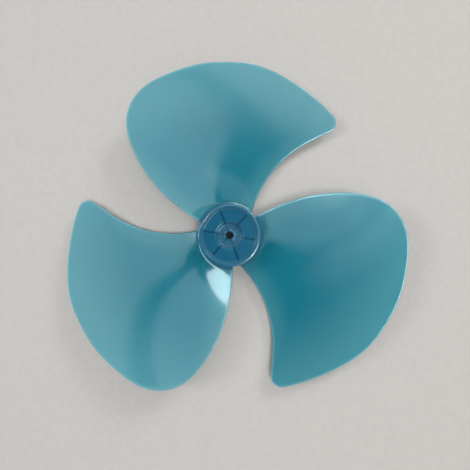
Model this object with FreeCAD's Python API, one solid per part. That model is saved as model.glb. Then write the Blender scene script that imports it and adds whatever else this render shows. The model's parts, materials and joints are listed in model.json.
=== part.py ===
"""Impeller of a pedestal fan: a cup-shaped hub and three swept blades, moulded in one piece of tinted plastic.

Frame: +Z is the shaft axis and points to the front of the fan.
The origin is on that axis at the floor of the boss's cross slot, which seats on the motor shaft's drive pin.
Seen from the front the impeller turns clockwise: each blade's hollow edge leads and its full edge trails.
"""
import FreeCAD, Part
import math
import os

Vector = FreeCAD.Vector
CENTRE = Vector(0, 0, 0)
AXIS = Vector(0, 0, 1)

# Whole impeller, in millimetres and degrees
SWEEP_DIAMETER = 400.0      # circle that the blades trace
BLADE_COUNT = 3
FIRST_BLADE_ANGLE = 100.0   # from +X to the middle of the first blade's root

# Hub shell, with heights measured from the rear rim
HUB_DIAMETER = 71.0         # outside of the front rim
HUB_HEIGHT = 42.0           # rear rim to the crest of the front rim
SKIRT_WALL = 2.4
SKIRT_DRAFT = 1.0           # the skirt opens out towards the rear by this angle
FACE_WALL = 2.5
RIM_WIDTH = 6.0             # raised ring round the front face
RIM_RISE = 2.5
RIM_CHAMFER = 1.9
POCKET_DIAMETER = 31.0      # dished recess round the bore
POCKET_DEPTH = 3.5
POCKET_WALL_RUN = 2.2       # how far the recess narrows from its edge to its floor

# Shaft boss
BORE_DIAMETER = 8.1         # 8 mm motor shaft with sliding clearance
BOSS_DIAMETER = 19.0
BOSS_SETBACK = 4.0          # boss end ahead of the rear rim
COLLAR_DIAMETER = 12.5      # raised collar round the bore at the front
COLLAR_RISE = 1.0
BORE_LEAD_IN = 0.6          # chamfer at both ends of the bore
PIN_SLOT_WIDTH = 4.4        # cross slot for a 4 mm drive pin
PIN_SLOT_DEPTH = 7.0

# Ribs behind the front face
RIB_COUNT = 6
RIB_WALL = 1.8
FIRST_RIB_ANGLE = -10.0     # from +X
RIB_SETBACK_AT_BOSS = 13.0  # lower edge of a rib ahead of the rear rim
RIB_SETBACK_AT_SKIRT = 21.0

# Blade outline, as (share of the span from hub to sweep circle, angle from the blade's middle)
LEADING_EDGE = ((0.274, -42.8), (0.528, -46.5), (0.739, -52.0))
TIP_POINT = (0.905, -55.8)
TIP_ROUND = 11.0
OUTER_EDGE = ((0.955, -34.1),)
SWEEP_ARC = (-16.0, -4.0)   # stretch of the outer edge that lies on the sweep circle
TRAILING_EDGE = ((0.983, 10.0), (0.947, 22.9), (0.851, 31.4), (0.652, 39.0), (0.391, 46.2))
LEADING_ROOT_ANGLE = -57.0
TRAILING_ROOT_ANGLE = 56.5

# Blade surface
ROOT_OFFSET = -4.5          # middle of the root, from half the hub's height
TIP_RISE = 16.0             # lift of the blade's middle from root to tip
ROOT_LEAD = 13.0            # climb towards the trailing edge, mm per radian
TIP_LEAD = 22.0
ROOT_CAMBER = 4.0           # hollow of the front side, mm per radian squared
TIP_CAMBER = 5.0
MIDDLE_SWEEP = 10.0         # how far the blade's middle leans forward at the tip
ROOT_THICKNESS = 2.8
TIP_THICKNESS = 1.6
EDGE_CHAMFER = 0.5
ROOT_FILLET = 4.5
FILLET_SHARE = 0.85         # most of the skirt beside a blade that the fillet may take
SPAN_STATIONS = 7           # grid that the surface passes through
CHORD_STATIONS = 10

SAME_PLACE = 0.01           # points nearer than this count as one

sweep_radius = SWEEP_DIAMETER / 2
hub_radius = HUB_DIAMETER / 2
span = sweep_radius - hub_radius
bore_radius = BORE_DIAMETER / 2
boss_radius = BOSS_DIAMETER / 2
face_height = HUB_HEIGHT - RIM_RISE
pocket_height = face_height - POCKET_DEPTH
plate_underside = pocket_height - FACE_WALL
pin_seat_height = BOSS_SETBACK + PIN_SLOT_DEPTH
root_height = HUB_HEIGHT / 2 + ROOT_OFFSET


def polar(radius, degrees, height=0.0):
    """Point at a radius and an angle from +X."""
    angle = math.radians(degrees)
    return Vector(radius * math.cos(angle), radius * math.sin(angle), height)


def turned(shape, degrees):
    """Copy of a shape turned about the shaft axis."""
    copy = shape.copy()
    copy.rotate(CENTRE, AXIS, degrees)
    return copy


def skirt_radius(height):
    """Outside of the drafted skirt."""
    return hub_radius + (HUB_HEIGHT - height) * math.tan(math.radians(SKIRT_DRAFT))


def make_hub():
    """Cup and shaft boss, revolved in one from their section."""
    rim_inner = hub_radius - RIM_WIDTH
    pocket_radius = POCKET_DIAMETER / 2
    collar_radius = COLLAR_DIAMETER / 2
    collar_height = pocket_height + COLLAR_RISE
    section = (
        (bore_radius, BOSS_SETBACK + BORE_LEAD_IN),
        (bore_radius, collar_height - BORE_LEAD_IN),
        (bore_radius + BORE_LEAD_IN, collar_height),
        (collar_radius, collar_height),
        (collar_radius, pocket_height),
        (pocket_radius - POCKET_WALL_RUN, pocket_height),
        (pocket_radius, face_height),
        (rim_inner, face_height),
        (rim_inner + RIM_RISE, HUB_HEIGHT),
        (skirt_radius(HUB_HEIGHT), HUB_HEIGHT),
        (skirt_radius(0), 0),
        (skirt_radius(0) - SKIRT_WALL, 0),
        (skirt_radius(plate_underside) - SKIRT_WALL, plate_underside),
        (boss_radius, plate_underside),
        (boss_radius, BOSS_SETBACK),
        (bore_radius + BORE_LEAD_IN, BOSS_SETBACK),
    )
    corners = [Vector(radius, 0, height) for radius, height in section]
    hub = Part.Face(Part.makePolygon(corners + corners[:1])).revolve(CENTRE, AXIS, 360)
    hub = hub.cut(turned(make_pin_slot(), FIRST_RIB_ANGLE + 180 / RIB_COUNT))
    crest = [edge for edge in hub.Edges if is_circle_at(edge, skirt_radius(HUB_HEIGHT), HUB_HEIGHT)]
    return hub.makeChamfer(RIM_CHAMFER, crest)


def is_circle_at(edge, radius, height):
    """True for a circular edge of this radius about the shaft axis, at this height."""
    point = edge.Vertexes[0].Point
    return abs(math.hypot(point.x, point.y) - radius) < SAME_PLACE and abs(point.z - height) < SAME_PLACE


def make_pin_slot():
    """Cutter for the slot across the rear end of the boss."""
    length = 2 * BOSS_DIAMETER
    return Part.makeBox(length, PIN_SLOT_WIDTH, pin_seat_height, Vector(-length / 2, -PIN_SLOT_WIDTH / 2, 0))


def make_rib():
    """Web along +X between the boss and the skirt, deeper at the boss."""
    inner = (bore_radius + boss_radius) / 2
    outer = hub_radius - SKIRT_WALL / 2
    top = plate_underside + FACE_WALL / 2
    section = (
        (inner, RIB_SETBACK_AT_BOSS),
        (boss_radius, RIB_SETBACK_AT_BOSS),
        (outer, RIB_SETBACK_AT_SKIRT),
        (outer, top),
        (inner, top),
    )
    corners = [Vector(radius, -RIB_WALL / 2, height) for radius, height in section]
    return Part.Face(Part.makePolygon(corners + corners[:1])).extrude(Vector(0, RIB_WALL, 0))


def station(share, angle):
    """Point of a blade along +X at a share of the span and an angle from the blade's middle."""
    return polar(hub_radius + share * span, angle)


def through(points, start=None, end=None):
    """Smooth edge through the points, with the direction of an end where it is given."""
    between = len(points) - 2
    directions = [start or CENTRE] + [CENTRE] * between + [end or CENTRE]
    given = [start is not None] + [False] * between + [end is not None]
    curve = Part.BSplineCurve()
    curve.interpolate(Points=points, Tangents=directions, TangentFlags=given, Scale=False)
    return curve.toShape()


def along_sweep(angle):
    """Direction along the sweep circle, towards the trailing edge."""
    return polar(1, angle + 90)


def make_outline(low, high):
    """Upright prism of the blade's outline, with the tip corner rounded."""
    buried_radius = hub_radius - SKIRT_WALL
    leading_root = polar(buried_radius, LEADING_ROOT_ANGLE)
    trailing_root = polar(buried_radius, TRAILING_ROOT_ANGLE)
    tip = station(*TIP_POINT)
    arc_start, arc_end = (polar(sweep_radius, angle) for angle in SWEEP_ARC)
    leading = [leading_root] + [station(*place) for place in LEADING_EDGE] + [tip]
    outer = [tip] + [station(*place) for place in OUTER_EDGE] + [arc_start]
    trailing = [arc_end] + [station(*place) for place in TRAILING_EDGE] + [trailing_root]
    outline = Part.Wire([
        through(leading),
        through(outer, end=along_sweep(SWEEP_ARC[0])),
        Part.Arc(arc_start, polar(sweep_radius, sum(SWEEP_ARC) / 2), arc_end).toShape(),
        through(trailing, start=along_sweep(SWEEP_ARC[1])),
        Part.LineSegment(trailing_root, leading_root).toShape(),
    ])
    outline.translate(Vector(0, 0, low))
    prism = Part.Face(outline).extrude(Vector(0, 0, high - low))
    corner = [edge for edge in prism.Edges
              if all(math.hypot(vertex.X - tip.x, vertex.Y - tip.y) < SAME_PLACE for vertex in edge.Vertexes)]
    return prism.makeFillet(TIP_ROUND, corner)


def surface_height(share, angle):
    """Height of the blade's middle surface."""
    turn = math.radians(angle + MIDDLE_SWEEP * share ** 2)
    lead = ROOT_LEAD + (TIP_LEAD - ROOT_LEAD) * share
    camber = ROOT_CAMBER + (TIP_CAMBER - ROOT_CAMBER) * share
    return root_height + TIP_RISE * share ** 2 + lead * turn + camber * turn ** 2


def make_surface(side, area):
    """Front (side 1) or rear (side -1) face of a blade along +X, over a box that holds the outline."""
    step_x = area.XLength / (SPAN_STATIONS - 1)
    step_y = area.YLength / (CHORD_STATIONS - 1)
    heights = []
    for row in range(SPAN_STATIONS):
        x = area.XMin + row * step_x
        heights.append([])
        for column in range(CHORD_STATIONS):
            y = area.YMin + column * step_y
            share = (math.hypot(x, y) - hub_radius) / span
            thickness = ROOT_THICKNESS + (TIP_THICKNESS - ROOT_THICKNESS) * share
            middle = surface_height(share, math.degrees(math.atan2(y, x)))
            heights[row].append(middle + side * thickness / 2)
    surface = Part.BSplineSurface()
    surface.interpolate(heights, area.XMin, step_x, area.YMin, step_y)
    return surface.toShape()


def make_blade():
    """Blade along +X: its outline cut from the sheet between the front and rear surfaces."""
    depth = SWEEP_DIAMETER
    outline = make_outline(-depth / 2, depth / 2)
    area = outline.BoundBox
    area.enlarge(TIP_ROUND)
    sheet = make_surface(-1, area).extrude(Vector(0, 0, depth))
    sheet = sheet.common(make_surface(1, area).extrude(Vector(0, 0, -depth)))
    blade = outline.common(sheet)
    blade = blade.makeChamfer(EDGE_CHAMFER, [edge for edge in blade.Edges if is_blade_rim(edge)])
    return blade.cut(Part.makeCylinder(hub_radius - SKIRT_WALL / 2, 2 * depth, Vector(0, 0, -depth)))


def is_blade_rim(edge):
    """True for the long edges between a blade's faces and its outline."""
    middle = edge.valueAt((edge.FirstParameter + edge.LastParameter) / 2)
    return edge.Length > 2 * ROOT_THICKNESS and math.hypot(middle.x, middle.y) > hub_radius


def is_blade_root(edge):
    """True for the long edges where a blade's front or rear face meets the skirt."""
    if edge.Length < 2 * ROOT_THICKNESS or edge.Curve.TypeId != "Part::GeomBSplineCurve":
        return False
    middle = edge.valueAt((edge.FirstParameter + edge.LastParameter) / 2)
    return abs(math.hypot(middle.x, middle.y) - skirt_radius(middle.z)) < SAME_PLACE


def root_fillet_radius():
    """Fillet between the blades and the skirt, limited by the skirt left in front of and behind a root."""
    crest_edge = HUB_HEIGHT - RIM_CHAMFER
    front_room = crest_edge - surface_height(0, TRAILING_ROOT_ANGLE) - ROOT_THICKNESS / 2
    rear_room = surface_height(0, LEADING_ROOT_ANGLE) - ROOT_THICKNESS / 2
    return min(ROOT_FILLET, FILLET_SHARE * front_room, FILLET_SHARE * rear_room)


def main():
    os.makedirs("parts", exist_ok=True)
    blade = make_blade()
    rib = make_rib()
    pieces = [turned(blade, FIRST_BLADE_ANGLE + 360 / BLADE_COUNT * number) for number in range(BLADE_COUNT)]
    pieces += [turned(rib, FIRST_RIB_ANGLE + 360 / RIB_COUNT * number) for number in range(RIB_COUNT)]
    impeller = make_hub().fuse(pieces).removeSplitter()
    impeller = impeller.makeFillet(root_fillet_radius(), [edge for edge in impeller.Edges if is_blade_root(edge)])
    impeller.translate(Vector(0, 0, -pin_seat_height))
    print("valid", impeller.isValid(), "solids", len(impeller.Solids), "volume", round(impeller.Volume))
    impeller.exportStep("parts/fan_blade.step")


main()
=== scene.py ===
"""Looks of a pedestal fan impeller: one moulding of tinted plastic on a pale floor, as an add-on."""
import json
import math

import bmesh
import bpy
import numpy as np
from bpy.props import FloatProperty, FloatVectorProperty, IntProperty, PointerProperty
from mathutils import Euler, Matrix, Vector
from mathutils.kdtree import KDTree


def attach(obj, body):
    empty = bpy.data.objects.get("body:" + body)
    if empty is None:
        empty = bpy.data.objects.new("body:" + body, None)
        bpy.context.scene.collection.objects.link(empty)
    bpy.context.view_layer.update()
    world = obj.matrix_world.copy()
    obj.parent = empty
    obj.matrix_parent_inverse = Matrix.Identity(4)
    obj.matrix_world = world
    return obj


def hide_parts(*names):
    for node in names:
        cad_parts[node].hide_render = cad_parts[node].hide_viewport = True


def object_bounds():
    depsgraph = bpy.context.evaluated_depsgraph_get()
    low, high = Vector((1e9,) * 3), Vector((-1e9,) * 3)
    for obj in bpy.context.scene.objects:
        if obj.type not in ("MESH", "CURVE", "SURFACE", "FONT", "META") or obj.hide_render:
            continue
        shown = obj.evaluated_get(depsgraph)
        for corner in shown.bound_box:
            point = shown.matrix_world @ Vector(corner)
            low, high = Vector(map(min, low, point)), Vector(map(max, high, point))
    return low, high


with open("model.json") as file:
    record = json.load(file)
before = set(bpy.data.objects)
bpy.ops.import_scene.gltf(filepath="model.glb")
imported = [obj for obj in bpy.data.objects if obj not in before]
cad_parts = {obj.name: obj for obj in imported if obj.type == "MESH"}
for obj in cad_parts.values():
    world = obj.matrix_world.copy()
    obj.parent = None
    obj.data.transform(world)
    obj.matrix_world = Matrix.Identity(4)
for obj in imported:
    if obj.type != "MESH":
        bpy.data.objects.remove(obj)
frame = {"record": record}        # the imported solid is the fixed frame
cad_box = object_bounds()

bl_info = {
    "name": "Fan Impeller",
    "version": (1, 0, 0),
    "blender": (4, 5, 0),
    "location": "View3D > Sidebar > Impeller",
    "description": "Builds a three-bladed fan impeller and a plain stage for it",
    "category": "Mesh",
}

NODE = "fan_blade"
BODY = "root"
SLOT = "tinted_plastic"

MOUNTS = {mount["name"]: mount for mount in frame["record"]["mounts"]}
REAR_RIM = MOUNTS["rear_rim"]["pos_m"][2]
FACE = MOUNTS["nut_seat"]["pos_m"][2]
BORE_DIAMETER = 2 * MOUNTS["shaft_bore"]["dims"]["r_mm"] / 1000
TOUCH = 1e-6                # metres, below which two places are one
SHARP_ANGLE = 38.0          # degrees between two faces, above which their edge stays sharp
SIDE_SHARE = 0.49           # most of a straight side that the rounding of one corner may take

# Outline of a blade, as (share of the span from hub to sweep circle, degrees from the blade's middle)
LEADING_EDGE = ((0.274, -42.8), (0.528, -46.5), (0.739, -52.0))
TIP_POINT = (0.905, -55.8)
OUTER_EDGE = ((0.955, -34.1),)
SWEEP_ARC = (-16.0, -4.0)
SWEEP_ARC_POINTS = 13
TRAILING_EDGE = ((0.983, 10.0), (0.947, 22.9), (0.851, 31.4), (0.652, 39.0), (0.391, 46.2))
LEADING_ROOT_ANGLE = -57.0
TRAILING_ROOT_ANGLE = 56.5
SHOULDER_ANGLE = 24.0       # where the outer edge hands over to the trailing edge

# Patterns of the finishes: repeats in a metre, then the range that each noise is stretched to
CLOUD_SCALE = 9.0           # uneven pigment
FLOW_SCALE = 45.0           # waves where the plastic flowed in the mould
FLOOR_SCALE = 160.0         # mottle of the floor
SATIN_SCALE = 220.0         # uneven gloss
GRAIN_SCALE = 1400.0        # grain of the mould
NOISE_BAND = (0.3, 0.7)     # the part of a noise that is stretched
CLOUD_RANGE = (0.97, 1.03)
FLOOR_RANGE = (0.98, 1.02)
SATIN_RANGE = (0.85, 1.15)
FLOW_WEIGHT = 12.0          # height of the flow waves against the grain

# Fields of the plastic, as shares of the size that each belongs to
THIN_AND_LIT_SPAN = (0.26, 0.5)     # of the sweep diameter: radii between which a blade turns lighter, partly as it thins and partly by painted light
EDGE_LIGHTENING = 0.6         # of the lighter colour: what shows along the edges, as painted light
RIB_FADE = (0.45, 0.9)      # of a rib's wall: half widths between which its painted shadow fades
RIM_FADE = 0.1              # of the rim's width: where the shade of the ribs ends
POCKET_FADE = (0.42, 0.45)  # of the pocket's diameter: radii between which its colour ends
POCKET_WALL = (0.42, 0.5)   # of the pocket's diameter: inner and outer radius of its wall
POCKET_RIBS = 0.35          # of the ribs' painted shadow: what shows inside the pocket
BOSS_WALL = (0.35, 0.45)    # of the boss's diameter: radii between which the painted shadows at the rib ends fade
PLASTIC_INDEX = 1.57        # refraction of the plastic
SCATTER_REACH = (0.4, 0.9, 1.0)     # how far red, green and blue travel in it, as shares

# Lamps: name, direction, distance and side in metres, tint
LAMPS = (
    ("key", (0.56, 0.62, 0.55), 3.0, 0.8, (1.0, 0.98, 0.95)),
    ("top", (0.22, -0.19, 0.957), 3.0, 0.8, (1.0, 0.99, 0.97)),
    ("window", (-0.684, 0.117, 0.72), 2.6, 0.75, (0.95, 0.98, 1.0)),
)

# Soft panels: name, direction, side in metres, turn of a side from +X in degrees, share of the full light
PANELS = (
    ("panel_upper", (0.125, 0.444, 0.887), 4.0, 45.0, 1.0),
    ("panel_inner", (-0.1625, 0.3025, 0.939), 1.7, 45.0, 0.85),
    ("panel_centre", (0.105, 0.042, 0.994), 0.6, 59.0, 1.1),
    ("panel_right", (0.41, 0.12, 0.904), 1.4, 0.0, 0.4),
    ("panel_left", (-0.445, 0.08, 0.892), 2.2, 45.0, 0.85),
    ("panel_low_wide", (0.17, -0.47, 0.866), 3.0, 0.0, 0.35),
    ("panel_low", (0.175, -0.47, 0.865), 2.6, 0.0, 0.35),
    ("panel_low_tip", (-0.08, -0.275, 0.958), 0.4, 0.0, 0.35),
)
PANEL_DISTANCE = 6.0
PANEL_TINT = (1.0, 1.0, 1.0)
SKY_BAND = (0.5, 0.8)       # sine of the height over which the low sky turns into the high sky
SKY_COLOUR = (0.97, 0.98, 1.0)
NEAREST_SEEN = 0.01         # metres in front of the lens


def length(label, text, default):
    """Property for a length, in metres."""
    return FloatProperty(name=label, description=text, default=default, min=0.0, unit="LENGTH", precision=4)


def angle(label, text, degrees):
    """Property for an angle, given in degrees."""
    return FloatProperty(name=label, description=text, default=math.radians(degrees), unit="ROTATION")


def share(label, text, default):
    """Property for a share between nothing and all."""
    return FloatProperty(name=label, description=text, default=default, min=0.0, max=1.0, subtype="FACTOR")


def quantity(label, text, default, least):
    """Property for a count."""
    return IntProperty(name=label, description=text, default=default, min=least)


def power(label, text, default):
    """Property for the light of a lamp, in watts."""
    return FloatProperty(name=label, description=text, default=default, min=0.0, unit="POWER")


def colour(label, text, default):
    """Property for a linear colour."""
    return FloatVectorProperty(
        name=label, description=text, default=default, size=3, min=0.0, max=1.0, subtype="COLOR")


class HubSizes(bpy.types.PropertyGroup):
    """Cup-shaped hub, with heights measured from its rear rim."""

    diameter: length("Diameter", "Outside of the front rim", 0.071)
    skirt_wall: length("Skirt wall", "Wall of the skirt", 0.0024)
    skirt_draft: angle("Skirt draft", "How the skirt opens out towards the rear", 1.0)
    face_wall: length("Face wall", "Wall of the front face", 0.0025)
    rim_width: length("Rim width", "Raised ring round the front face", 0.006)
    rim_rise: length("Rim rise", "How far the ring stands above the face", 0.0025)
    rim_round: length("Rim round", "Rounding of the ring's outer edge", 0.0021)
    pocket_diameter: length("Pocket diameter", "Dished recess round the bore", 0.031)
    pocket_depth: length("Pocket depth", "Depth of the dished recess", 0.0035)
    pocket_wall_run: length("Pocket wall run", "How far the recess narrows to its floor", 0.0022)
    bore_diameter: length("Bore diameter", "Hole for the motor shaft", BORE_DIAMETER)
    boss_diameter: length("Boss diameter", "Outside of the shaft boss", 0.019)
    boss_setback: length("Boss setback", "Boss end ahead of the rear rim", 0.004)
    collar_diameter: length("Collar diameter", "Raised collar round the bore", 0.0125)
    collar_rise: length("Collar rise", "Height of the collar above the pocket floor", 0.001)
    lead_in: length("Lead-in", "Chamfer at both ends of the bore", 0.0006)
    slot_width: length("Slot width", "Cross slot for the drive pin", 0.0044)
    slot_depth: length("Slot depth", "Depth of the cross slot", 0.007)
    rib_count: quantity("Ribs", "Ribs behind the front face", 6, 2)
    rib_wall: length("Rib wall", "Wall of a rib", 0.0018)
    first_rib: angle("First rib", "Angle of the first rib from +X", -10.0)
    rib_setback_boss: length("Rib setback at boss", "Rib edge ahead of the rear rim", 0.013)
    rib_setback_skirt: length("Rib setback at skirt", "Rib edge ahead of the rear rim", 0.021)
    edge_round: length("Edge round", "Rounding of the small edges", 0.0006)
    columns: quantity("Columns", "Mesh columns round the hub", 192, 24)
    row_height: length("Row height", "Tallest mesh row", 0.0018)


class BladeSizes(bpy.types.PropertyGroup):
    """Swept blades, with heights measured from the hub's rear rim."""

    sweep_diameter: length("Sweep diameter", "Circle that the blades trace", 0.4)
    count: quantity("Blades", "Number of blades", 3, 2)
    first: angle("First blade", "Angle of the first blade's middle from +X", 100.0)
    root_height: length("Root height", "Middle of the root", 0.0165)
    tip_rise: length("Tip rise", "Lift of the blade's middle from root to tip", 0.016)
    root_lead: length("Root lead", "Climb towards the trailing edge, per radian", 0.013)
    tip_lead: length("Tip lead", "Climb towards the trailing edge, per radian", 0.022)
    root_camber: length("Root camber", "Hollow of the front side, per radian squared", 0.004)
    tip_camber: length("Tip camber", "Hollow of the front side, per radian squared", 0.005)
    middle_sweep: angle("Middle sweep", "How far the blade's middle leans forward at the tip", 10.0)
    root_thickness: length("Root thickness", "Thickness at the hub", 0.0028)
    tip_thickness: length("Tip thickness", "Thickness at the sweep circle", 0.0016)
    root_fillet: length("Root fillet", "Fillet between blade and skirt", 0.0045)
    tip_round: length("Tip round", "Rounding of the tip corner", 0.011)
    chord_rows: quantity("Chord rows", "Mesh rows across a blade", 64, 8)
    span_rows: quantity("Span rows", "Mesh rows along a blade", 72, 8)
    rim_rows: quantity("Rim rows", "Mesh rows round a blade's edge", 6, 2)
    fillet_rows: quantity("Fillet rows", "Mesh rows across a root fillet", 8, 2)


class FinishSettings(bpy.types.PropertyGroup):
    """Tinted plastic."""

    blade_colour: colour("Blade colour", "Plastic of the blades", (0.01, 0.266, 0.366))
    # lighter plastic towards the tips and edges: partly thinner plastic, partly painted light
    thin_and_lit_colour: colour("Thin colour", "Plastic where the blades thin out", (0.103, 0.378, 0.453))
    # darker, bluer plastic of the hub: its double wall, plus painted shade of the closed cup behind the
    # face
    shaded_hub_colour: colour("Hub colour", "Plastic where walls lie behind each other", (0.014, 0.18, 0.313))
    pocket_colour: colour("Pocket colour", "Scuffed floor of the round pocket", (0.05, 0.2, 0.33))
    # painted highlight: a light line along the blades' edges
    edge_highlight_colour: colour("Edge colour", "Plastic where light gathers along the edges", (0.15, 0.44, 0.52))
    # painted shadow of the ribs behind the hub's face, seen through the plastic
    rib_shadow_colour: colour("Rib colour", "Plastic over a rib of the front face", (0.002, 0.05, 0.13))
    rib_shade: share("Rib shade", "How much of the rib colour shows through the face", 0.7)
    edge_width: length("Edge width", "Width of the light line along the edges", 0.0018)
    # how far in from its edges a blade gets painted light
    edge_light_reach: length("Thin width", "How far in from its edges a blade is thinner", 0.03)
    roughness: share("Roughness", "Satin of the moulded faces", 0.15)
    skin_roughness: share("Skin roughness", "Gloss of the clear outer skin", 0.07)
    edge_roughness: share("Edge roughness", "Duller skin along the edges, where the mould parts", 0.4)
    skin_colour: colour("Skin colour", "Tint of light thrown back inside the wall", (0.4, 0.85, 0.9))
    translucency: share("Translucency", "Light that scatters through the wall", 1.0)
    scatter_depth: length("Scatter depth", "How far light travels inside the wall", 0.006)
    clearness: share("Clearness", "Light that passes straight through the wall", 0.15)
    waviness: share("Waviness", "How strongly flow waves and grain show", 0.12)
    wave_height: length("Wave height", "Height of the grain", 0.00006)


class StageSettings(bpy.types.PropertyGroup):
    """Floor, lamps and camera."""

    floor_size: length("Floor size", "Side of the floor", 6.0)
    floor_colour: colour("Floor colour", "Plain pale floor", (0.612, 0.591, 0.57))
    sky_low: share("Low sky", "Light from all round", 0.3)
    sky_high: share("High sky", "Light from straight above", 0.03)
    key_power: power("Key lamp", "Lamp at the upper right", 22.5)
    top_power: power("Top lamp", "Lamp overhead", 31.5)
    window_power: power("Window lamp", "Lamp at the left", 12.3)
    panel_power: power("Panels", "Light of a square metre of the soft panels", 3.85)
    camera_place: FloatVectorProperty(
        name="Camera place", description="Lens, above the impeller", default=(0.0238, -0.0109, 0.4382),
        size=3, subtype="TRANSLATION", unit="LENGTH")
    camera_turn: FloatVectorProperty(
        name="Camera turn", description="Turn of the camera", size=3, subtype="EULER", unit="ROTATION",
        default=(math.radians(1.57), math.radians(2.457), math.radians(-0.088)))
    lens: FloatProperty(
        name="Lens", description="Focal length on a 36 mm sensor", default=28.11, unit="CAMERA")


class ImpellerSettings(bpy.types.PropertyGroup):
    """All that a user would change."""

    hub: PointerProperty(type=HubSizes)
    blade: PointerProperty(type=BladeSizes)
    finish: PointerProperty(type=FinishSettings)
    stage: PointerProperty(type=StageSettings)


def hub_height(hub):
    """Rear rim to the crest of the front rim."""
    return FACE - REAR_RIM + hub.rim_rise


def skirt_radius(hub, height):
    """Outside of the drafted skirt."""
    return hub.diameter / 2 + (hub_height(hub) - height) * math.tan(hub.skirt_draft)


def plate_underside(hub):
    """Height of the front face's rear side."""
    return FACE - REAR_RIM - hub.pocket_depth - hub.face_wall


def make_object(name, points, faces):
    """New object from points, given with heights above the rear rim, and faces."""
    mesh = bpy.data.meshes.new(name)
    mesh.from_pydata([(x, y, z + REAR_RIM) for x, y, z in points], [], faces)
    builder = bmesh.new()
    builder.from_mesh(mesh)
    bmesh.ops.recalc_face_normals(builder, faces=builder.faces)
    builder.to_mesh(mesh)
    builder.free()
    made = bpy.data.objects.new(name, mesh)
    bpy.context.scene.collection.objects.link(made)
    return made


def spin(points, degrees):
    """Points turned about the shaft axis."""
    turn = math.radians(degrees)
    c, s = math.cos(turn), math.sin(turn)
    return [(x * c - y * s, x * s + y * c, z) for x, y, z in points]


# Hub

def rounded_section(corners, steps=5):
    """Closed section with each corner (radius, height, rounding) replaced by an arc."""
    section = []
    for number, (radius, height, rounding) in enumerate(corners):
        corner = Vector((radius, height))
        before = Vector(corners[number - 1][:2]) - corner
        after = Vector(corners[(number + 1) % len(corners)][:2]) - corner
        if rounding == 0:
            section.append(corner)
            continue
        half = before.angle(after) / 2
        reach = min(rounding / math.tan(half), SIDE_SHARE * before.length, SIDE_SHARE * after.length)
        middle = corner + (before.normalized() + after.normalized()).normalized() * reach / math.cos(half)
        first = corner + before.normalized() * reach - middle
        last = corner + after.normalized() * reach - middle
        for step in range(steps + 1):
            section.append(middle + first.slerp(last, step / steps) * first.length)
    return section


def parted(section, tallest):
    """Section with long runs cut into even rows."""
    rows = []
    for number, start in enumerate(section):
        end = section[(number + 1) % len(section)]
        parts = max(1, math.ceil((end - start).length / tallest))
        rows.extend(start.lerp(end, part / parts) for part in range(parts))
    return rows


def hub_section(hub):
    """Half section of the cup and its shaft boss, as (radius, height, rounding)."""
    crest = hub_height(hub)
    face = crest - hub.rim_rise
    pocket = face - hub.pocket_depth
    underside = plate_underside(hub)
    collar = pocket + hub.collar_rise
    bore = hub.bore_diameter / 2
    rim_inner = hub.diameter / 2 - hub.rim_width
    small = hub.edge_round
    return (
        (bore, hub.boss_setback + hub.lead_in, 0),
        (bore, collar - hub.lead_in, 0),
        (bore + hub.lead_in, collar, 0),
        (hub.collar_diameter / 2, collar, small / 2),
        (hub.collar_diameter / 2, pocket, small / 2),
        (hub.pocket_diameter / 2 - hub.pocket_wall_run, pocket, 2 * small),
        (hub.pocket_diameter / 2, face, small),
        (rim_inner, face, small),
        (rim_inner + hub.rim_rise, crest, 2 * small),
        (skirt_radius(hub, crest), crest, hub.rim_round),
        (skirt_radius(hub, 0), 0, small),
        (skirt_radius(hub, 0) - hub.skirt_wall, 0, small),
        (skirt_radius(hub, underside) - hub.skirt_wall, underside, 2 * small),
        (hub.boss_diameter / 2, underside, 2 * small),
        (hub.boss_diameter / 2, hub.boss_setback, small),
        (bore + hub.lead_in, hub.boss_setback, 0),
    )


def make_hub(hub):
    """Cup and boss, turned from their section."""
    rows = parted(rounded_section(hub_section(hub)), hub.row_height)
    points = []
    for column in range(hub.columns):
        turn = 2 * math.pi * column / hub.columns
        points.extend((row.x * math.cos(turn), row.x * math.sin(turn), row.y) for row in rows)
    count = len(rows)
    faces = []
    for column in range(hub.columns):
        near, far = column * count, (column + 1) % hub.columns * count
        for row in range(count):
            above = (row + 1) % count
            faces.append((near + row, far + row, far + above, near + above))
    return make_object("hub", points, faces)


def prism(section, width):
    """Points and faces of a section in the plane through +X and +Z, thickened across."""
    count = len(section)
    points = [(x, -width / 2, z) for x, z in section] + [(x, width / 2, z) for x, z in section]
    faces = [tuple(range(count)), tuple(range(2 * count - 1, count - 1, -1))]
    for number in range(count):
        following = (number + 1) % count
        faces.append((number, number + count, following + count, following))
    return points, faces


def make_ribs(hub):
    """Webs between boss and skirt behind the front face, deeper at the boss."""
    inner = (hub.bore_diameter + hub.boss_diameter) / 4
    outer = hub.diameter / 2 - hub.skirt_wall / 2
    top = plate_underside(hub) + hub.face_wall / 2
    section = (
        (inner, hub.rib_setback_boss),
        (hub.boss_diameter / 2, hub.rib_setback_boss),
        (outer, hub.rib_setback_skirt),
        (outer, top),
        (inner, top),
    )
    web, web_faces = prism(section, hub.rib_wall)
    points, faces = [], []
    for number in range(hub.rib_count):
        faces.extend(tuple(len(points) + corner for corner in face) for face in web_faces)
        points.extend(spin(web, math.degrees(hub.first_rib) + 360 / hub.rib_count * number))
    return make_object("ribs", points, faces)


def make_slot(hub):
    """Cutter for the slot across the boss's rear end."""
    reach = hub.boss_diameter
    top = hub.boss_setback + hub.slot_depth
    section = ((-reach, -hub.boss_setback), (reach, -hub.boss_setback), (reach, top), (-reach, top))
    points, faces = prism(section, hub.slot_width)
    return make_object("slot", spin(points, math.degrees(hub.first_rib) + 180 / hub.rib_count), faces)


# Blades

def polar(radius, degrees):
    """Plan point at a radius and an angle from +X."""
    turn = math.radians(degrees)
    return np.array((radius * math.cos(turn), radius * math.sin(turn)))


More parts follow.
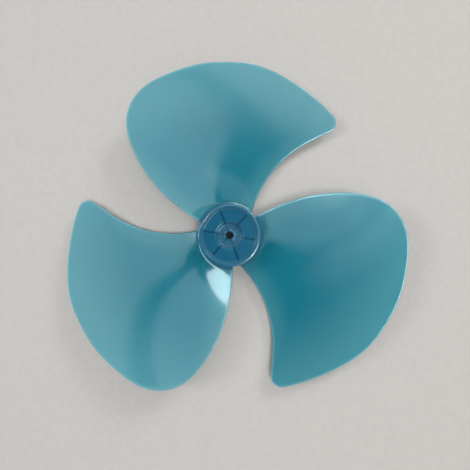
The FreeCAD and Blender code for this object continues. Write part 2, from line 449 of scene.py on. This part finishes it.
def end_direction(points, places):
    """Direction at the first point of the cubic through four points, or of the parabola through three."""
    degree = min(3, len(points) - 1)
    powers = np.vander(places[:degree + 1] - places[0], increasing=True)
    return np.linalg.solve(powers, points[:degree + 1])[1]


def smooth_line(points, start=None, end=None, steps=60):
    """Smooth cubic through plan points, with end directions where they are given."""
    points = np.array(points)
    spans = np.linalg.norm(np.diff(points, axis=0), axis=1)
    places = np.concatenate(([0], np.cumsum(spans)))
    count = len(points)
    matrix = np.eye(count)
    target = np.zeros((count, 2))
    slopes = np.diff(points, axis=0) / spans[:, None]
    for row in range(1, count - 1):
        before, after = spans[row - 1], spans[row]
        matrix[row, row - 1:row + 2] = after, 2 * (before + after), before
        target[row] = 3 * (after * slopes[row - 1] + before * slopes[row])
    target[0] = end_direction(points, places) if start is None else start
    target[-1] = end_direction(points[::-1], places[::-1]) if end is None else end
    tangents = np.linalg.solve(matrix, target)
    t = np.linspace(0, 1, steps, endpoint=False)[:, None]
    pieces = []
    for number, span in enumerate(spans):
        a, b = points[number], points[number + 1]
        p, q = tangents[number] * span, tangents[number + 1] * span
        pieces.append(a + p * t + (3 * (b - a) - 2 * p - q) * t ** 2 + (2 * (a - b) + p + q) * t ** 3)
    return np.vstack(pieces + [points[-1:]])


def outward(line):
    """Unit normals of a plan line that has the blade on its left."""
    tangents = np.gradient(line, axis=0)
    tangents /= np.linalg.norm(tangents, axis=1)[:, None]
    return np.stack((tangents[:, 1], -tangents[:, 0]), axis=1)


def round_corner(first, second, radius, steps=24):
    """Two plan lines that meet in a corner, joined by an arc, and the place of the arc's middle."""
    inner_first = first - outward(first) * radius
    inner_second = second - outward(second) * radius
    gaps = np.linalg.norm(inner_first[:, None] - inner_second[None], axis=2)
    last, start = np.unravel_index(np.argmin(gaps), gaps.shape)
    centre = (inner_first[last] + inner_second[start]) / 2
    begin, finish = (math.atan2(*(point - centre)[::-1]) for point in (first[last], second[start]))
    finish += 2 * math.pi if finish < begin else 0
    turns = np.linspace(begin, finish, steps + 1)[1:-1]
    arc = centre + radius * np.stack((np.cos(turns), np.sin(turns)), axis=1)
    return np.vstack((first[:last + 1], arc, second[start:])), last + 1 + len(arc) // 2


def blade_outline(hub, blade):
    """Plan outline of a blade along +X from leading root to trailing root, and the place of its tip."""
    hub_radius, sweep_radius = hub.diameter / 2, blade.sweep_diameter / 2
    buried = hub_radius - hub.skirt_wall

    def station(place):
        return polar(hub_radius + place[0] * (sweep_radius - hub_radius), place[1])

    arc = [polar(sweep_radius, degrees) for degrees in np.linspace(*SWEEP_ARC, SWEEP_ARC_POINTS)]
    tip = station(TIP_POINT)
    leading = [polar(buried, LEADING_ROOT_ANGLE)] + [station(place) for place in LEADING_EDGE] + [tip]
    outer = [tip] + [station(place) for place in OUTER_EDGE] + [arc[0]]
    trailing = [arc[-1]] + [station(place) for place in TRAILING_EDGE]
    trailing.append(polar(buried, TRAILING_ROOT_ANGLE))
    outer_line = smooth_line(outer, end=polar(1, SWEEP_ARC[0] + 90))
    trailing_line = smooth_line(trailing, start=polar(1, SWEEP_ARC[1] + 90))
    rest = np.vstack((outer_line[:-1], arc[:-1], trailing_line))
    return round_corner(smooth_line(leading), rest, blade.tip_round)


def along(line, normals, shares):
    """Points and normals at shares of a plan line's length."""
    steps = np.linalg.norm(np.diff(line, axis=0), axis=1)
    reach = np.concatenate(([0], np.cumsum(steps)))
    places = np.array(shares) * reach[-1]
    points = np.stack([np.interp(places, reach, line[:, k]) for k in (0, 1)], axis=1)
    sides = np.stack([np.interp(places, reach, normals[:, k]) for k in (0, 1)], axis=1)
    return points, sides / np.linalg.norm(sides, axis=1)[:, None]


def blade_share(hub, blade, plan):
    """Share of the span from hub to sweep circle."""
    hub_radius = hub.diameter / 2
    return (np.linalg.norm(plan, axis=-1) - hub_radius) / (blade.sweep_diameter / 2 - hub_radius)


def blade_half(blade, shares):
    """Half the blade's thickness."""
    return (blade.root_thickness + (blade.tip_thickness - blade.root_thickness) * shares) / 2


def blade_height(hub, blade, plan):
    """Height of the blade's middle surface."""
    shares = blade_share(hub, blade, plan)
    turn = np.arctan2(plan[..., 1], plan[..., 0]) + blade.middle_sweep * shares ** 2
    lead = blade.root_lead + (blade.tip_lead - blade.root_lead) * shares
    camber = blade.root_camber + (blade.tip_camber - blade.root_camber) * shares
    return blade.root_height + blade.tip_rise * shares ** 2 + lead * turn + camber * turn ** 2


def blade_flare(hub, blade, plan, heights):
    """How much a root fillet adds to either side of the blade."""
    skirt = hub.diameter / 2 + (hub_height(hub) - heights) * math.tan(hub.skirt_draft)
    bite = blade.root_fillet / 60           # the fillet runs into the skirt at a slight angle
    clear = np.clip(np.linalg.norm(plan, axis=-1) - skirt + bite, 0, blade.root_fillet)
    return blade.root_fillet - np.sqrt(clear * (2 * blade.root_fillet - clear))


def sheet_points(hub, blade, plan, side):
    """Points above plan points, on the front (side 1), the rear (side -1) or between them."""
    heights = blade_height(hub, blade, plan)
    half = blade_half(blade, blade_share(hub, blade, plan)) + blade_flare(hub, blade, plan, heights)
    return np.concatenate((plan, (heights + side * half)[..., None]), axis=-1)


def span_shares(hub, blade):
    """Shares of a blade's length for its mesh rows, closer over the fillet and at the outer edge."""
    buried = hub.skirt_wall / 2
    whole = blade.sweep_diameter / 2 - hub.diameter / 2 + buried
    turns = np.linspace(0, math.pi / 2, blade.fillet_rows + 1)
    fillet = (buried + blade.root_fillet * (1 - np.cos(turns))) / whole
    last = 1 - blade.tip_thickness / whole
    open_rows = np.linspace(fillet[-1], last, blade.span_rows - blade.fillet_rows)[1:]
    return np.concatenate(([0], fillet, open_rows, [1]))


def chord_shares(blade):
    """Shares of a blade's chord for its mesh rows, with a narrow row along each edge."""
    narrow = 0.25 / blade.chord_rows        # a quarter of an even row
    return np.concatenate(([0], np.linspace(narrow, 1 - narrow, blade.chord_rows - 1), [1]))


def to_polar(plan):
    """Radius and angle of plan points."""
    return np.stack((np.linalg.norm(plan, axis=-1), np.arctan2(plan[..., 1], plan[..., 0])), axis=-1)


def from_polar(places):
    """Plan points from their radius and angle."""
    radius, turn = places[..., 0], places[..., 1]
    return np.stack((radius * np.cos(turn), radius * np.sin(turn)), axis=-1)


def blade_plan(hub, blade):
    """Plan grid of a blade inside its rounded edge, and the outward normals along that edge."""
    outline, tip = blade_outline(hub, blade)
    normals = outward(outline)
    half = blade_half(blade, blade_share(hub, blade, outline))
    line = outline - normals * half[:, None]
    bearing = np.degrees(np.arctan2(line[:, 1], line[:, 0]))
    radius = np.linalg.norm(line, axis=1)
    root_radius = hub.diameter / 2 - hub.skirt_wall / 2
    outside = np.nonzero(radius >= root_radius)[0]
    shoulder = tip + np.argmax(bearing[tip:] >= SHOULDER_ANGLE)
    rows, columns = span_shares(hub, blade), chord_shares(blade)
    front = slice(outside[0], tip + 1)
    end = slice(tip, shoulder + 1)
    back = slice(shoulder, outside[-1] + 1)
    lead_side, lead_normals = along(line[front], normals[front], rows)
    outer_side, outer_normals = along(line[end], normals[end], columns)
    trail_side, trail_normals = along(line[back][::-1], normals[back][::-1], rows)
    lead, outer, trail = to_polar(lead_side), to_polar(outer_side), to_polar(trail_side)
    root = lead[0] + (trail[0] - lead[0]) * columns[:, None]
    u, v = columns[:, None, None], rows[None, :, None]
    corners = (1 - u) * ((1 - v) * lead[0] + v * lead[-1]) + u * ((1 - v) * trail[0] + v * trail[-1])
    grid = (1 - v) * root[:, None] + v * outer[:, None] + (1 - u) * lead[None] + u * trail[None] - corners
    edge_normals = np.vstack((lead_normals, outer_normals[1:-1], trail_normals[::-1]))
    return from_polar(grid), edge_normals


def make_blade(hub, blade):
    """Points and faces of a closed blade along +X, with its root inside the skirt's wall."""
    plan, edge_normals = blade_plan(hub, blade)
    across, length_rows = plan.shape[0], plan.shape[1]
    points = np.vstack((
        sheet_points(hub, blade, plan, 1).reshape(-1, 3),
        sheet_points(hub, blade, plan, -1).reshape(-1, 3)))
    rear = across * length_rows

    def cell(i, j):
        return i * length_rows + j

    faces = []
    for i in range(across - 1):
        for j in range(length_rows - 1):
            quad = (cell(i, j), cell(i, j + 1), cell(i + 1, j + 1), cell(i + 1, j))
            faces.append(quad)
            faces.append(tuple(rear + corner for corner in reversed(quad)))
        faces.append((cell(i, 0), cell(i + 1, 0), rear + cell(i + 1, 0), rear + cell(i, 0)))
    chain = [(0, j) for j in range(length_rows)]
    chain += [(i, length_rows - 1) for i in range(1, across - 1)]
    chain += [(across - 1, j) for j in range(length_rows - 1, -1, -1)]
    base = np.array([plan[i, j] for i, j in chain])
    half = blade_half(blade, blade_share(hub, blade, base))
    rings = [[cell(i, j) for i, j in chain]]
    extra = []
    for row in range(1, blade.rim_rows):
        turn = math.pi * row / blade.rim_rows
        ring_plan = base + edge_normals * half[:, None] * math.sin(turn)
        first = len(points) + len(extra) * len(chain)
        rings.append(list(range(first, first + len(chain))))
        extra.append(sheet_points(hub, blade, ring_plan, math.cos(turn)))
    rings.append([rear + corner for corner in rings[0]])
    for upper, lower in zip(rings, rings[1:]):
        for c in range(len(chain) - 1):
            faces.append((upper[c], lower[c], lower[c + 1], upper[c + 1]))
    faces.append(tuple(ring[0] for ring in rings[:1] + rings[:0:-1]))
    faces.append(tuple(ring[-1] for ring in rings))
    return np.vstack([points] + extra), faces


def make_blades(hub, blade):
    """All blades, as closed shells of one object."""
    one, one_faces = make_blade(hub, blade)
    points, faces = [], []
    for number in range(blade.count):
        faces.extend(tuple(len(points) + corner for corner in face) for face in one_faces)
        points.extend(spin(one.tolist(), math.degrees(blade.first) + 360 / blade.count * number))
    return make_object("blades", points, faces)


# Moulding

def combine(target, other, operation):
    """Joins or cuts a closed mesh with another one, which is then removed."""
    modifier = target.modifiers.new(operation.title(), "BOOLEAN")
    modifier.operation = operation
    modifier.solver = "MANIFOLD"
    modifier.object = other
    bpy.context.view_layer.update()
    graph = bpy.context.evaluated_depsgraph_get()
    mesh = bpy.data.meshes.new_from_object(target.evaluated_get(graph))
    target.modifiers.clear()
    target.data = mesh
    bpy.data.objects.remove(other)


def check_closed(made):
    """Stops if the mesh has an open or doubled edge."""
    builder = bmesh.new()
    builder.from_mesh(made.data)
    bmesh.ops.remove_doubles(builder, verts=builder.verts, dist=TOUCH)
    bmesh.ops.dissolve_degenerate(builder, edges=builder.edges, dist=TOUCH)
    loose = sum(1 for edge in builder.edges if not edge.is_manifold)
    builder.to_mesh(made.data)
    builder.free()
    if loose:
        raise RuntimeError(f"the moulding has {loose} open edges")


def mark_edges(made, hub, blade):
    """Stores how far each point lies from the nearest edge of a blade."""
    outline = blade_outline(hub, blade)[0]
    line = outline[np.linalg.norm(outline, axis=1) > hub.diameter / 2 + blade.root_fillet]
    heights = blade_height(hub, blade, line) + REAR_RIM
    one = [tuple(point) for point in np.concatenate((line, heights[:, None]), axis=1)]
    tree = KDTree(len(one) * blade.count)
    for number in range(blade.count):
        for place, point in enumerate(spin(one, math.degrees(blade.first) + 360 / blade.count * number)):
            tree.insert(point, number * len(one) + place)
    tree.balance()
    gaps = made.data.attributes.new("edge_gap", "FLOAT", "POINT")
    gaps.data.foreach_set("value", [tree.find(vertex.co)[2] for vertex in made.data.vertices])


class IMPELLER_OT_moulding(bpy.types.Operator):
    """Build the hub, its ribs and the blades as one moulding in tinted plastic"""

    bl_idname = "impeller.moulding"
    bl_label = "Add moulding"
    bl_options = {"REGISTER", "UNDO"}

    def execute(self, context):
        settings = context.scene.impeller
        hub, blade = settings.hub, settings.blade
        moulding = make_hub(hub)
        combine(moulding, make_blades(hub, blade), "UNION")
        combine(moulding, make_ribs(hub), "UNION")
        combine(moulding, make_slot(hub), "DIFFERENCE")
        check_closed(moulding)
        moulding.name = moulding.data.name = "impeller"
        mark_edges(moulding, hub, blade)
        moulding.data.polygons.foreach_set("use_smooth", [True] * len(moulding.data.polygons))
        moulding.data.set_sharp_from_angle(angle=math.radians(SHARP_ANGLE))
        moulding.data.materials.clear()
        moulding.data.materials.append(tinted_plastic(hub, blade, settings.finish))
        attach(moulding, BODY)
        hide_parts(NODE)
        return {"FINISHED"}


# Finish

class NodeDesk:
    """Adds nodes to a tree and wires them."""

    def __init__(self, tree):
        self.tree = tree
        tree.nodes.clear()

    def add(self, kind, inputs=None, **settings):
        """New node with its settings, and its inputs wired or set."""
        node = self.tree.nodes.new(kind)
        for name, value in settings.items():
            setattr(node, name, value)
        for name, value in (inputs or {}).items():
            if isinstance(value, bpy.types.NodeSocket):
                self.tree.links.new(value, node.inputs[name])
            else:
                node.inputs[name].default_value = value
        return node

    def math(self, operation, *values):
        """Result of a calculation with numbers."""
        return self.add("ShaderNodeMath", dict(enumerate(values)), operation=operation).outputs[0]

    def vector(self, operation, *values):
        """Outputs of a calculation with vectors."""
        return self.add("ShaderNodeVectorMath", dict(enumerate(values)), operation=operation).outputs

    def ramp(self, value, low, high, start=0.0, end=1.0):
        """Smooth step from start to end as the value goes from low to high."""
        limits = {"Value": value, "From Min": low, "From Max": high, "To Min": start, "To Max": end}
        return self.add("ShaderNodeMapRange", limits, interpolation_type="SMOOTHSTEP").outputs["Result"]

    def blend(self, factor, first, second, mode="MIX"):
        """Mix of two colours. Its sockets go by number, because a mix has several of each name."""
        inputs = {0: factor, 6: first, 7: second}
        return self.add("ShaderNodeMix", inputs, data_type="RGBA", blend_type=mode).outputs[2]

    def noise(self, place, scale, detail=3.0):
        """Soft noise between 0 and 1."""
        inputs = {"Vector": place, "Scale": scale, "Detail": detail}
        return self.add("ShaderNodeTexNoise", inputs).outputs["Fac"]


def opaque(rgb):
    """Colour with full alpha."""
    return (*rgb, 1.0)


def scaled(shares, size):
    """Both shares of a size."""
    return shares[0] * size, shares[1] * size


def rib_shadow_mask(desk, place, radius, hub):
    """Painted shadow of the ribs behind the front face: 1 over a rib, weaker over the pocket floor, full
    again at the rib ends by the boss, 0 away from a rib.
    """
    nearest = None
    for number in range(hub.rib_count // 2):
        turn = hub.first_rib + 2 * math.pi / hub.rib_count * number
        across = desk.vector("DOT_PRODUCT", place, (-math.sin(turn), math.cos(turn), 0))
        gap = desk.math("ABSOLUTE", across["Value"])
        nearest = gap if nearest is None else desk.math("MINIMUM", nearest, gap)
    line = desk.ramp(nearest, *scaled(RIB_FADE, hub.rib_wall), 1.0, 0.0)
    rim_inner = hub.diameter / 2 - hub.rim_width
    inside = desk.ramp(radius, rim_inner, rim_inner + RIM_FADE * hub.rim_width, 1.0, 0.0)
    beyond_pocket = desk.ramp(radius, *scaled(POCKET_WALL, hub.pocket_diameter), POCKET_RIBS, 1.0)
    boss_shadow = desk.ramp(radius, *scaled(BOSS_WALL, hub.boss_diameter), 1.0, 0.0)
    strength = desk.math("MAXIMUM", beyond_pocket, boss_shadow)
    return desk.math("MULTIPLY", desk.math("MULTIPLY", line, inside), strength)


def tinted_plastic(hub, blade, finish):
    """Translucent teal plastic with a glossy moulded skin."""
    material = bpy.data.materials.new(SLOT)
    material.use_nodes = True
    desk = NodeDesk(material.node_tree)
    place = desk.add("ShaderNodeTexCoord").outputs["Object"]
    flat = desk.vector("MULTIPLY", place, (1, 1, 0))["Vector"]
    radius = desk.vector("LENGTH", flat)["Value"]
    edge_gap = desk.add("ShaderNodeAttribute", attribute_name="edge_gap").outputs["Fac"]
    # lighter along the edges (painted light) and towards the tips (thinner plastic and painted light)
    by_edge = desk.ramp(edge_gap, 0.0, finish.edge_light_reach, EDGE_LIGHTENING, 0.0)
    by_span = desk.ramp(radius, *scaled(THIN_AND_LIT_SPAN, blade.sweep_diameter))
    thin = desk.math("MAXIMUM", by_edge, by_span)
    clouds = desk.ramp(desk.noise(place, CLOUD_SCALE), *NOISE_BAND, *CLOUD_RANGE)
    tone = desk.blend(thin, opaque(finish.blade_colour), opaque(finish.thin_and_lit_colour))
    plain = desk.blend(1.0, tone, clouds, "MULTIPLY")
    in_pocket = desk.ramp(radius, *scaled(POCKET_FADE, hub.pocket_diameter), 1.0, 0.0)
    # hub in its shaded colour (painted shade of the closed cup), pocket floor in its own colour
    shaded_core = desk.blend(in_pocket, opaque(finish.shaded_hub_colour), opaque(finish.pocket_colour))
    in_hub = desk.ramp(radius, hub.diameter / 2, hub.diameter / 2 + hub.rim_width, 1.0, 0.0)
    tinted = desk.blend(in_hub, plain, shaded_core)
    # painted shadows of the ribs, seen through the face
    shade = desk.math("MULTIPLY", rib_shadow_mask(desk, place, radius, hub), finish.rib_shade)
    rib_shadowed = desk.blend(shade, tinted, opaque(finish.rib_shadow_colour))
    # painted highlight along the edges
    painted_edge_highlight = desk.ramp(edge_gap, 0.0, 2 * finish.edge_width, 1.0, 0.0)
    edge_highlighted = desk.blend(painted_edge_highlight, rib_shadowed, opaque(finish.edge_highlight_colour))
    gloss = desk.noise(place, SATIN_SCALE, 5.0)
    satin = desk.ramp(gloss, *NOISE_BAND, *scaled(SATIN_RANGE, finish.roughness))
    skin = desk.ramp(edge_gap, 0.0, 2 * finish.edge_width, finish.edge_roughness, finish.skin_roughness)
    flow = desk.math("MULTIPLY", desk.noise(place, FLOW_SCALE), FLOW_WEIGHT)
    grain = desk.math("ADD", flow, desk.noise(place, GRAIN_SCALE))
    waves = {"Height": grain, "Strength": finish.waviness, "Distance": finish.wave_height}
    bump = desk.add("ShaderNodeBump", waves)
    plastic = desk.add("ShaderNodeBsdfPrincipled", {
        "Base Color": edge_highlighted,
        "Roughness": satin,
        "Normal": bump.outputs["Normal"],
        "IOR": PLASTIC_INDEX,
        "Specular Tint": opaque(finish.skin_colour),
        "Coat Weight": 1.0,
        "Coat Roughness": skin,
        "Coat IOR": PLASTIC_INDEX,
        "Subsurface Weight": finish.translucency,
        "Subsurface Radius": SCATTER_REACH,
        "Subsurface Scale": finish.scatter_depth,
        "Transmission Weight": finish.clearness,
    })
    desk.add("ShaderNodeOutputMaterial", {"Surface": plastic.outputs["BSDF"]})
    return material


# Stage

def make_floor(stage):
    """Plain pale floor under the rear rim."""
    half = stage.floor_size / 2
    low = cad_box[0].z - REAR_RIM
    corners = [(-half, -half, low), (half, -half, low), (half, half, low), (-half, half, low)]
    floor = make_object("floor", corners, [(0, 1, 2, 3)])
    material = bpy.data.materials.new("pale_floor")
    material.use_nodes = True
    desk = NodeDesk(material.node_tree)
    place = desk.add("ShaderNodeTexCoord").outputs["Object"]
    mottle = desk.ramp(desk.noise(place, FLOOR_SCALE), *NOISE_BAND, *FLOOR_RANGE)
    top = desk.blend(1.0, opaque(stage.floor_colour), mottle, "MULTIPLY")
    matt = {"Base Color": top, "Roughness": 0.7, "Specular IOR Level": 0.2}
    board = desk.add("ShaderNodeBsdfPrincipled", matt)
    desk.add("ShaderNodeOutputMaterial", {"Surface": board.outputs["BSDF"]})
    floor.data.materials.append(material)


def make_lamp(name, direction, distance, side, watts, tint, turn=0.0):
    """Square area lamp that shines on the impeller from a direction, with a side along a turn from +X."""
    data = bpy.data.lights.new(name, "AREA")
    data.size = side
    data.energy = watts
    data.color = tint
    lamp = bpy.data.objects.new(name, data)
    towards = Vector(direction).normalized()
    lamp.location = towards * distance
    across = Vector((math.cos(turn), math.sin(turn), 0))
    across = (across - towards * across.dot(towards)).normalized()
    lamp.rotation_euler = Matrix((across, towards.cross(across), towards)).transposed().to_euler()
    bpy.context.scene.collection.objects.link(lamp)


def make_lamps(stage):
    """Lamps that cast the shadows, and soft panels that the glossy blades mirror."""
    for name, direction, distance, side, tint in LAMPS:
        make_lamp(name, direction, distance, side, getattr(stage, f"{name}_power"), tint)
    for name, direction, side, turn, light in PANELS:
        watts = light * stage.panel_power * side ** 2
        make_lamp(name, direction, PANEL_DISTANCE, side, watts, PANEL_TINT, math.radians(turn))


def make_sky(stage):
    """Soft light from all round, less from straight above, where the panels are."""
    world = bpy.data.worlds.new("sky")
    world.use_nodes = True
    desk = NodeDesk(world.node_tree)
    place = desk.add("ShaderNodeTexCoord").outputs["Generated"]
    up = desk.add("ShaderNodeSeparateXYZ", {"Vector": place}).outputs["Z"]
    strength = desk.ramp(up, *SKY_BAND, stage.sky_low, stage.sky_high)
    sky = desk.add("ShaderNodeBackground", {"Color": opaque(SKY_COLOUR), "Strength": strength})
    desk.add("ShaderNodeOutputWorld", {"Surface": sky.outputs["Background"]})
    bpy.context.scene.world = world


def make_camera(stage):
    """Camera at the photograph's viewing angle."""
    data = bpy.data.cameras.new("camera")
    data.lens = stage.lens
    data.clip_start = NEAREST_SEEN
    camera = bpy.data.objects.new("camera", data)
    camera.location = stage.camera_place
    camera.rotation_euler = Euler(stage.camera_turn)
    bpy.context.scene.collection.objects.link(camera)
    bpy.context.scene.camera = camera


class IMPELLER_OT_stage(bpy.types.Operator):
    """Build the floor, the lamps and the camera"""

    bl_idname = "impeller.stage"
    bl_label = "Add stage"
    bl_options = {"REGISTER", "UNDO"}

    def execute(self, context):
        stage = context.scene.impeller.stage
        make_floor(stage)
        make_lamps(stage)
        make_sky(stage)
        make_camera(stage)
        context.scene.view_settings.view_transform = "Standard"
        return {"FINISHED"}


class IMPELLER_PT_sidebar(bpy.types.Panel):
    """Sizes, finish and buttons of the impeller"""

    bl_idname = "IMPELLER_PT_sidebar"
    bl_label = "Impeller"
    bl_space_type = "VIEW_3D"
    bl_region_type = "UI"
    bl_category = "Impeller"

    def draw(self, context):
        settings = context.scene.impeller
        for title, group in (("Hub", settings.hub), ("Blades", settings.blade),
                             ("Finish", settings.finish), ("Stage", settings.stage)):
            box = self.layout.box()
            box.label(text=title)
            for name in group.__annotations__:
                box.prop(group, name)
        self.layout.operator(IMPELLER_OT_moulding.bl_idname)
        self.layout.operator(IMPELLER_OT_stage.bl_idname)


CLASSES = (
    HubSizes,
    BladeSizes,
    FinishSettings,
    StageSettings,
    ImpellerSettings,
    IMPELLER_OT_moulding,
    IMPELLER_OT_stage,
    IMPELLER_PT_sidebar,
)


def register():
    """Makes the classes known to Blender."""
    for kind in CLASSES:
        bpy.utils.register_class(kind)
    bpy.types.Scene.impeller = PointerProperty(type=ImpellerSettings)


def unregister():
    """Takes the classes back."""
    del bpy.types.Scene.impeller
    for kind in reversed(CLASSES):
        bpy.utils.unregister_class(kind)


def main():
    """Builds the impeller and its stage."""
    register()
    bpy.ops.impeller.moulding()
    bpy.ops.impeller.stage()


if __name__ == "__main__":
    main()
